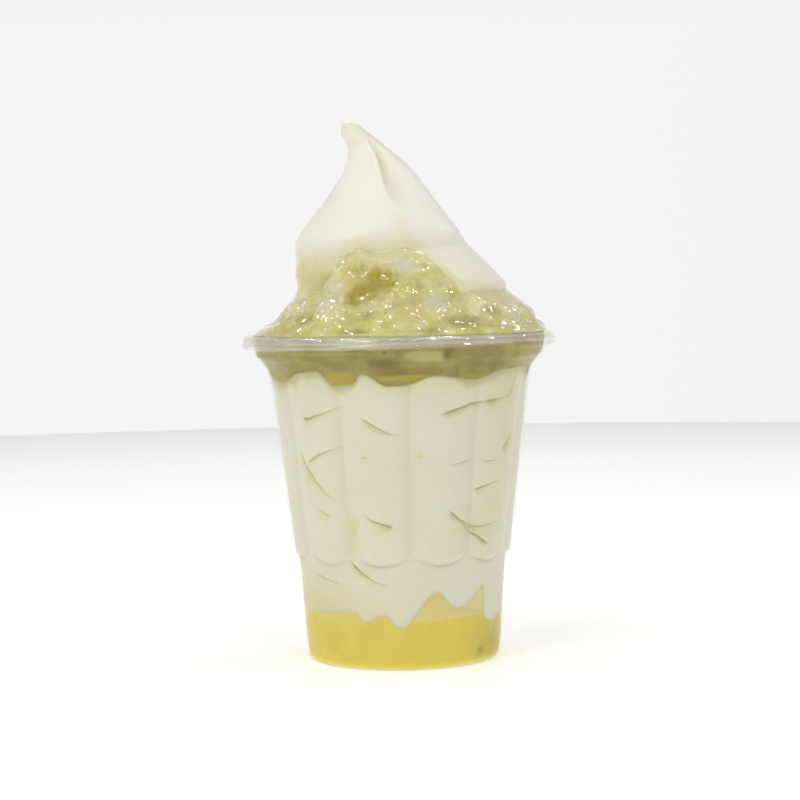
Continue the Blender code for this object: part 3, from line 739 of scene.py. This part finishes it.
def jam_top(degrees):
    """Height of the jam's frilled upper edge."""
    top = eased(JAM_TOP, degrees)
    brink = place(degrees, 30 * MM, top)
    middle, half, drop = LOW_EDGE
    top = top - drop * hump(turned(degrees - middle), half, 4)
    return top + MM * noise_at(brink, 5, 4) + 0.6 * MM * noise_at(brink, 2.2, 8)


def jam_surface(degrees, heights):
    """Points on the outside of the jam's mound, and how much lumps may raise them, 0 to 1.

    Above the jam's top edge the points are inside the ice cream.
    """
    cover = np.clip((jam_top(degrees) - heights) / JAM_FADE, -1, 1)
    thickness = JAM_THICKNESS * np.where(cover > 0, np.abs(cover) ** JAM_EDGE_POWER, cover)
    radius = swirl_radius(degrees, heights) + thickness
    mound = curve_at(MOUND_OUTLINE, heights / MM)[..., 0] * MM + MOUND_LEAN * np.sin(np.radians(degrees))
    radius = np.where(heights < MOUND_OUTLINE[-1][0] * MM, np.maximum(radius, mound), radius)
    surface = place(degrees, radius, heights, swirl_middle(heights))
    return surface, smoothstep(0, 1, cover) * smoothstep(96 * MM, 99 * MM, heights)


def outwards(degrees, rise):
    """Away from the axis, and this steeply up."""
    return place(degrees, 1.0, rise)


def piece_spots(rng):
    """Directions and heights in staggered rows round the mound, more of them where the jam is higher."""
    for row, height in enumerate(PIECE_LEVELS):
        side, _ = jam_surface(np.array([90.0]), np.array([height]))
        count = round(2 * math.pi * (side[0, 0] - swirl_middle(np.array(height))) / PIECE_SPACING)
        for i in range(count):
            degrees = 90 + 360 * (i + 0.5 * (row % 2) + rng.uniform(-0.25, 0.25)) / count
            lift = rng.uniform(-1.2, 1.2) * MM
            if eased(JAM_TOP, degrees) > height + 2 * MM:
                yield degrees, height + lift


def coconut_pieces():
    """The place, the axes and the half sizes of each piece of coconut."""
    rng = random.Random(7)
    for degrees, height in piece_spots(rng):
        surface, share = jam_surface(np.array([degrees]), np.array([height]))
        lumps = JAM_LUMPS * noise_at(surface, 6) * share
        outward = Vector(outwards(degrees, 0.5)).normalized()
        spot = (surface + outwards(degrees, LUMP_RISE) * lumps[:, None])[0]
        spot = spot - np.array(outward) * rng.uniform(2.2, 3) * MM
        growth = rng.uniform(0.8, 1.15)
        turn = outward.to_track_quat("Z", "Y") @ Quaternion((0, 0, 1), rng.uniform(0, math.pi))
        yield spot, np.array(turn.to_matrix()), np.array(PIECE_SIZE) * growth


def piece_rise(surface):
    """How far the sunk pieces of coconut raise a surface, and at each point the tone of the piece there."""
    tones = random.Random(3)
    rise = np.full(surface.shape[:-1], NO_PIECE)
    tone = np.zeros(rise.shape)
    uneven = 0.6 * MM * noise_at(surface, 3.2, 5)
    for spot, axes, half in coconut_pieces():
        local = (surface - spot) @ axes
        across = ((np.abs(local[..., :2]) / half[:2]) ** PIECE_SQUARENESS).sum(-1) ** (1 / PIECE_SQUARENESS)
        top = half[2] * np.clip(1 - across**PIECE_SQUARENESS, 0, 1) ** (1 / PIECE_SQUARENESS)
        top = top - 3 * MM * np.clip(across - 1, 0, None) - local[..., 2] + uneven
        top = np.where(np.linalg.norm(surface - spot, axis=-1) < PIECE_REACH, top, NO_PIECE)
        tone = np.where(top > rise, tones.random(), tone)
        rise = np.maximum(rise, top)
    return rise, tone


def soft_maximum(first, second, reach):
    """The larger of two reliefs, with the crease between them filled."""
    share = np.clip(0.5 + 0.5 * (second - first) / reach, 0, 1)
    return first + share * (second - first) + reach * share * (1 - share)


def make_jam_side():
    """The jam that shows through the cup's collar."""
    degrees = around(JAM_COLUMNS)
    edge = eased(JAM_EDGE, degrees)
    heights = between(edge, JAM_SIDE_TOP, COLLAR_ROWS)
    wall = wall_radius(degrees, heights)
    tuck = [place(degrees, wall[0] - 1.5 * MM, edge - 1.5 * MM)]
    collar = place(degrees, wall - rounding(heights - edge, 0.15 * MM), heights)
    brim = [place(degrees, *JAM_BRIM), place(degrees, JAM_BRIM[0] - 2 * MM, JAM_BRIM[1])]
    rings = np.concatenate([tuck, collar, brim])
    at = degrees + 1.2 * noise_at(rings, 4, 2)
    up = rings[..., 2] + 0.5 * MM * noise_at(rings, 4, 7)
    lists = {"gold": COLLAR_GOLDS, "brown": COLLAR_BROWNS, "cloudy": COLLAR_CLOUDS}
    fields = {name: spots(at, up, places, 2, 3).clip(0, 1) for name, places in lists.items()}
    return grid_piece("coconut_jam_side", rings, (0, 0, 86 * MM), (0, 0, JAM_SIDE_TOP), **fields)


def heap_relief(degrees, heights, surface, top):
    """How far its lumps and the pieces of coconut raise the heap, and the fields that its colours need."""
    shaded_hollow, sunk, pool = [spots(degrees, heights, places).clip(0, 1) for places in (HOLLOW, SUNK, SYRUP_POOL)]
    thin = smoothstep(6 * MM, 0, top - heights + 1.5 * MM * noise_at(surface, 4, 6))
    calm = thin * smoothstep(117 * MM, 108 * MM, top)
    pebbles = pebbles_at(surface, 5.5)
    base = 0.12 * pebbles - 0.06 + 0.22 * noise_at(surface, 3.2) + 0.08 * noise_at(surface, 1.5)
    base = base * MM * (1 - np.maximum(0.7 * shaded_hollow, 0.8 * pool)) * (1 - 0.6 * calm) - 0.3 * MM * shaded_hollow
    rise, tone = piece_rise(surface)
    raised = soft_maximum(base, rise - (3.5 * sunk + 1.2 * pool) * MM, 1.6 * MM)
    raised = raised - spots(degrees, heights, LEAN_SIDE) * MM
    piece = smoothstep(-0.3 * MM, 0.3 * MM, rise) * (1 - sunk) * (1 - pool)
    # Painted shade between the pebbles and in the hollow, and the olive places, which are the jam's own tone.
    deep = np.maximum(0.2 * (1 - pebbles) * (1 - piece) * (1 - pool), shaded_hollow)
    deep = np.maximum(deep, spots(degrees, heights, OLIVES, 1))
    film = thin * spots(degrees, heights, FILM, 1).clip(0, 1)
    fields = {"deep": deep, "piece": piece, "tone": tone, "thin": thin, "pool": pool, "calm": calm}
    return raised, fields | {"film": film}


def make_jam_heap():
    """The jam over the cup, with the pieces of coconut in it."""
    degrees = around(JAM_COLUMNS)
    top = jam_top(degrees)
    heights = between(MOUND_OUTLINE[0][0] * MM, top + 0.6 * JAM_FADE, JAM_ROWS)
    surface, share = jam_surface(degrees, heights)
    out = outwards(degrees, LUMP_RISE)
    surface = surface + out * (JAM_LUMPS * noise_at(surface, 6) * share)[..., None]
    raised, fields = heap_relief(degrees, heights, surface, top)
    heap = surface + out * (raised * share)[..., None]
    brim = [place(degrees, *JAM_BRIM), place(degrees, *JAM_ON_LIP)]
    rings = np.concatenate([brim, heap])
    patches = spots(degrees, rings[..., 2], MOUND_PATCHES)
    patches = {"cloudy": patches.clip(0, 1), "brown": (-patches).clip(0, 1)}
    end = (float(swirl_middle(np.array(MOUND_MIDDLE))), 0, MOUND_MIDDLE)
    fields = extended(fields, len(brim), 0)
    return grid_piece("coconut_jam_heap", rings, (0, 0, JAM_SIDE_TOP), end, **fields, **patches)


# Materials


def new_material(name, look):
    """A material whose nodes are set up by look."""
    material = bpy.data.materials.new(name)
    material.use_nodes = True
    look(material.node_tree)
    return material


def feed(tree, socket, value):
    """Links a socket to another node's output, or sets it to a value. A colour may leave out its alpha."""
    if isinstance(value, bpy.types.NodeSocket):
        tree.links.new(value, socket)
    elif socket.type == "RGBA" and len(value) == 3:
        socket.default_value = (*value, 1)
    else:
        socket.default_value = value


def fill(tree, node, inputs):
    """Feeds a node's sockets by name."""
    for name, value in inputs.items():
        feed(tree, node.inputs[name], value)
    return node


def add(tree, kind, **inputs):
    """A new shader node of this kind, with its sockets fed by name."""
    node = tree.nodes.new("ShaderNode" + kind)
    return fill(tree, node, {name.replace("_", " "): value for name, value in inputs.items()})


def noise_field(tree, size, detail=3, low=0.3, high=0.7, stretch=1):
    """Noise with features of this size in mm, stretched upwards this many times, spread to 0 to 1."""
    coords = add(tree, "TexCoord").outputs["Object"]
    coords = add(tree, "Mapping", Vector=coords, Scale=(1, 1, 1 / stretch)).outputs["Vector"]
    field = add(tree, "TexNoise", Vector=coords, Scale=1 / (size * MM), Detail=detail).outputs["Fac"]
    return ranged(tree, field, low, high, 0, 1)


def ranged(tree, value, low, high, to_low, to_high):
    """A value moved from one range to another, and kept inside it."""
    inputs = {"Value": value, "From Min": low, "From Max": high, "To Min": to_low, "To Max": to_high}
    return fill(tree, add(tree, "MapRange"), inputs).outputs["Result"]


def blended(tree, share, first, second):
    """One colour over another, by share."""
    node = tree.nodes.new("ShaderNodeMix")
    node.data_type = "RGBA"
    for socket, colour in zip([socket for socket in node.inputs if socket.type == "RGBA"], (first, second)):
        feed(tree, socket, colour)
    fill(tree, node, {"Factor": share})
    return next(socket for socket in node.outputs if socket.type == "RGBA")


def computed(tree, operation, first, second):
    node = tree.nodes.new("ShaderNodeMath")
    node.operation = operation
    for socket, value in zip(node.inputs, (first, second)):
        feed(tree, socket, value)
    return node.outputs[0]


def scaled(tree, value, factor):
    return computed(tree, "MULTIPLY", value, factor)


def field_of(tree, name):
    """One of the piece's point attributes."""
    node = tree.nodes.new("ShaderNodeAttribute")
    node.attribute_name = name
    return node.outputs["Fac"]


def covered(tree, colour, layers):
    """A colour under layers of others, each (field that says where, how much of it covers, colour)."""
    for name, cover, over in layers:
        colour = blended(tree, scaled(tree, field_of(tree, name), cover), colour, over)
    return colour


def mixed(tree, share, first, second):
    """Two shaders, by share."""
    node = tree.nodes.new("ShaderNodeMixShader")
    for socket, value in zip(node.inputs, (share, first, second)):
        tree.links.new(value, socket)
    return node.outputs[0]


def bumped(tree, height, distance, normal=None):
    """A normal from a height field, whose full range is this distance in mm."""
    inputs = {"Height": height, "Distance": distance * MM, "Strength": 1}
    if normal:
        inputs["Normal"] = normal
    return fill(tree, add(tree, "Bump"), inputs).outputs["Normal"]


def varied(tree, size, low, high, detail=3):
    """A value that varies from low to high in patches of this size."""
    return ranged(tree, noise_field(tree, size, detail), 0, 1, low, high)


def soft_surface(tree, colour, roughness, normal, reflection, glow, **more):
    """The surface of a food that light enters. Glow is (its share, each colour's reach, its scale in mm)."""
    weight, reach, scale = glow
    fill(tree, tree.nodes["Principled BSDF"], {
        "Base Color": colour, "Roughness": roughness, "Normal": normal, "Specular IOR Level": reflection,
        "Subsurface Weight": weight, "Subsurface Radius": reach, "Subsurface Scale": scale * MM,
    } | more)


def cream_surface(tree, colour, roughest, reflection):
    """The surface of soft serve: smooth and soft, with small pores."""
    pores = bumped(tree, noise_field(tree, 0.5, 2), 0.03)
    grain = bumped(tree, noise_field(tree, 2.4), 0.1, pores)
    roughness = varied(tree, 5, roughest - 0.16, roughest)
    soft_surface(tree, colour, roughness, grain, reflection, (0.35, (1, 0.8, 0.5), 2.5))


def body_look(tree):
    """Ice cream behind the plastic, stained where puree lies in its folds, with painted shade there and by
    its flutes.
    """
    colour = blended(tree, noise_field(tree, 14), CREAM, CREAM_WARM)
    distance = field_of(tree, "crease")
    # A dark line along each crease: puree in the fold, and painted shade in its gap.
    line = scaled(tree, ranged(tree, distance, 0.05, 0.3, 1, 0), ranged(tree, distance, -0.7, -0.1, 0, 1))
    colour = covered(tree, colour, [
        ("flush", 1, CREAM_FLUSH), ("stain_and_shade", 0.8, CREAM_STAIN_AND_SHADE), ("cut", line, CREAM_STAIN_AND_SHADE),
    ])
    cream_surface(tree, colour, 0.58, 0.1)


def swirl_look(tree):
    """Ice cream in the open, with painted shade in its groove, under its last fold and towards its tip, and
    yellow with syrup.
    """
    colour = blended(tree, noise_field(tree, 14), CREAM_TOP, CREAM_TOP_WARM)
    colour = covered(tree, colour, [
        ("shaded_hollow", 1, CREAM_HOLLOW_SHADE), ("syrup", noise_field(tree, 5, 2, 0.1, 0.5), SYRUP_COLOUR),
        ("soaked", noise_field(tree, 3, 2, -0.3, 0.6), CREAM_SOAKED), ("film", 1, FILM_COLOUR),
    ])
    cream_surface(tree, colour, 0.46, 0.5)


def puree_look(tree):
    """Smooth yellow puree with fine pulp in it, paler where it is only smeared on the ice cream, darker low
    on its right as painted shade, and with a painted glow on its lower rim.
    """
    colour = blended(tree, noise_field(tree, 6), PUREE, PUREE_DEEP)
    colour = blended(tree, noise_field(tree, 1.4, 4, 0.6, 0.75), colour, PUREE_PULP)
    colour = covered(tree, colour, [
        ("smear", 1, PUREE_SMEAR), ("pale", 1, PUREE_PALE), ("dark", 1, PUREE_DARK_AND_SHADE), ("rim", 1, PUREE_RIM_LIGHT),
    ])
    grain = bumped(tree, noise_field(tree, 1.2), 0.06)
    roughness = varied(tree, 3, 0.28, 0.42)
    soft_surface(tree, colour, roughness, grain, 0.1, (0.3, (1, 0.7, 0.2), 2))


def jam_look(tree):
    """Wet, cloudy jam with coconut in it: pale on its lumps, olive with painted shade between them and in its
    hollow, and olive in places of its own tone.
    """
    colour = blended(tree, noise_field(tree, 5), JAM, JAM_PALE)
    olive = scaled(tree, noise_field(tree, 3.5, 3, 0.48, 0.66), 0.55)
    colour = blended(tree, olive, colour, JAM_OLIVE)
    coconut = blended(tree, field_of(tree, "tone"), COCONUT, COCONUT_STAINED)
    colour = covered(tree, colour, [
        ("pool", 1, JAM_POOL), ("deep", 1, JAM_DEEP_AND_SHADE), ("piece", 0.7, coconut),
        ("cloudy", 0.8, COCONUT_CLOUDY), ("brown", 0.8, JAM_BROWN), ("thin", 0.75, JAM_THIN),
        ("film", 1, FILM_COLOUR),
    ])
    calm = ranged(tree, field_of(tree, "deep"), 0.5, 0.9, 1, 0.6)
    calm = scaled(tree, calm, ranged(tree, field_of(tree, "calm"), 0, 1, 1, 0.4))
    wet = bumped(tree, scaled(tree, noise_field(tree, 2.4, 1, 0, 1), calm), 0.3)
    wet = bumped(tree, scaled(tree, noise_field(tree, 1.1, 1, 0, 1), calm), 0.18, wet)
    coat = {"Coat Weight": 1, "Coat Roughness": 0.03, "Coat IOR": 1.45}
    glow = (0.45, (1, 0.85, 0.35), 2.2)
    soft_surface(tree, colour, varied(tree, 2, 0.1, 0.25), wet, 0.2, glow, **coat)


def jam_side_look(tree):
    """The same jam behind plastic: in shade, and without a wet surface."""
    colour = blended(tree, noise_field(tree, 4.5, 3, 0.35, 0.65), JAM_SIDE, JAM_SIDE_LIGHT)
    colour = covered(tree, colour, [
        ("gold", 1, JAM_GOLD), ("cloudy", 0.8, JAM_SIDE_CLOUDY), ("brown", 0.9, JAM_SIDE_BROWN),
    ])
    grain = bumped(tree, noise_field(tree, 2.4), 0.15)
    glow = (0.4, (1, 0.85, 0.3), 2)
    soft_surface(tree, colour, varied(tree, 2, 0.3, 0.5), grain, 0.1, glow)


def plastic_look(tree):
    """Thin clear plastic, which its rolled lip makes slightly cloudy, most on its left as painted light, with
    faint streaks from forming.
    """
    lip = field_of(tree, "lip")
    streaks = scaled(tree, noise_field(tree, 1.6), ranged(tree, lip, 0, 1, 0.3, 0.6))
    ripples = scaled(tree, noise_field(tree, 3, 1, stretch=3), lip)
    normal = bumped(tree, ripples, 0.04, bumped(tree, streaks, 0.03))
    roughness = varied(tree, 6, 0.03, 0.1)
    clear = add(tree, "BsdfTransparent", Color=PLASTIC).outputs[0]
    haze = add(tree, "BsdfDiffuse", Color=PLASTIC_HAZE, Normal=normal).outputs[0]
    gloss = add(tree, "BsdfGlossy", Color=(1, 1, 1), Roughness=roughness, Normal=normal).outputs[0]
    hazy = scaled(tree, lip, varied(tree, 14, 0.35, 0.65, 2))
    # The share that it reflects, which rises where it is seen edge on.
    edge_on = add(tree, "LayerWeight", Blend=0.5, Normal=normal).outputs["Facing"]
    least = ranged(tree, lip, 0, 1, 0.04, 0.12)
    reflected = ranged(tree, computed(tree, "POWER", edge_on, 5), 0, 1, least, 0.5)
    whole = mixed(tree, reflected, mixed(tree, hazy, clear, haze), gloss)
    tree.links.new(whole, tree.nodes["Material Output"].inputs["Surface"])


def floor_look(tree):
    colour = blended(tree, noise_field(tree, 400), *FLOOR_COLOURS)
    fill(tree, tree.nodes["Principled BSDF"], {
        "Base Color": colour, "Roughness": 0.7, "Emission Color": (1, 1, 1), "Emission Strength": FLOOR_GLOW,
    })


# The scene

# Each piece's shape, its material's name and look, and the node and the slot that it stands for.
PIECES = [
    (make_cup, "clear_plastic", plastic_look, "cup", "clear_plastic"),
    (make_body, "ice_cream_in_cup", body_look, "ice_cream", "ice_cream"),
    (make_swirl, "ice_cream_swirl", swirl_look, "ice_cream", "ice_cream"),
    (make_puree, "coconut_puree", puree_look, "coconut_puree", "coconut_puree"),
    (make_jam_side, "coconut_jam_side", jam_side_look, "coconut_jam", "coconut_jam"),
    (make_jam_heap, "coconut_jam", jam_look, "coconut_jam", "coconut_jam"),
]


def finish_piece(obj, material, node):
    obj.data.materials.append(material)
    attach(obj, "root")
    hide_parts(node)


def make_floor():
    ring = place(around(96), FLOOR_RADIUS, 0.0).tolist()
    data = bpy.data.meshes.new("floor")
    data.from_pydata(ring, [], [tuple(range(len(ring)))])
    data.materials.append(new_material("floor", floor_look))
    new_object("floor", data)


def add_light(name, spot, target, size, power, colour=(1, 1, 1)):
    light = bpy.data.lights.new(name, "AREA")
    light.shape = "DISK"
    light.size = size
    light.energy = power
    light.color = colour
    obj = new_object(name, light)
    obj.location = spot
    obj.rotation_euler = (Vector(target) - Vector(spot)).to_track_quat("-Z", "Y").to_euler()


def make_lights():
    """A soft key light from the left, and small lamps round the studio that make the wet jam glint."""
    add_light("key", KEY_SPOT, KEY_AIM, KEY_SIZE, KEY_POWER, KEY_COLOUR)
    for i in range(LAMPS):
        rise = math.radians(LAMP_RISES[i % len(LAMP_RISES)])
        out, up = LAMP_DISTANCE * math.cos(rise), LAMP_DISTANCE * math.sin(rise)
        spot = place(LAMP_START + LAMP_TURN * i, out, LAMP_AIM[2] + up)
        add_light(f"lamp_{i}", spot, LAMP_AIM, LAMP_SIZE, LAMP_POWER)


def make_world():
    """Pale all round, and dimmer overhead and at the sides, most at the right, so that forms show."""
    world = bpy.data.worlds.new("studio")
    world.use_nodes = True
    tree = world.node_tree
    direction = add(tree, "TexCoord").outputs["Generated"]
    ways = add(tree, "SeparateXYZ", Vector=direction).outputs
    strength = ranged(tree, ways["Z"], *DIMMING, HORIZON_LIGHT, ZENITH_LIGHT)
    strength = scaled(tree, strength, ranged(tree, ways["X"], -1, 1, *SIDE_LIGHT))
    strength = scaled(tree, strength, ranged(tree, scaled(tree, ways["X"], ways["X"]), 0, 1, 1, SIDE_DIM))
    fill(tree, tree.nodes["Background"], {"Color": (1, 1, 1), "Strength": strength})
    bpy.context.scene.world = world


def make_camera():
    data = bpy.data.cameras.new("camera")
    data.lens = CAMERA_LENS
    data.sensor_width = CAMERA_SENSOR
    camera = new_object("camera", data)
    tilt = Matrix.Rotation(math.radians(90 + CAMERA_TILT), 4, "X")
    roll = Matrix.Rotation(math.radians(CAMERA_ROLL), 4, "Z")
    camera.matrix_world = Matrix.Translation(CAMERA_SPOT) @ tilt @ roll
    bpy.context.scene.camera = camera


make_camera()
for make, name, look, node, slot in PIECES:
    finish_piece(make(), new_material(name, look), node)
make_floor()
make_lights()
make_world()
bpy.context.scene.view_settings.view_transform = "Standard"
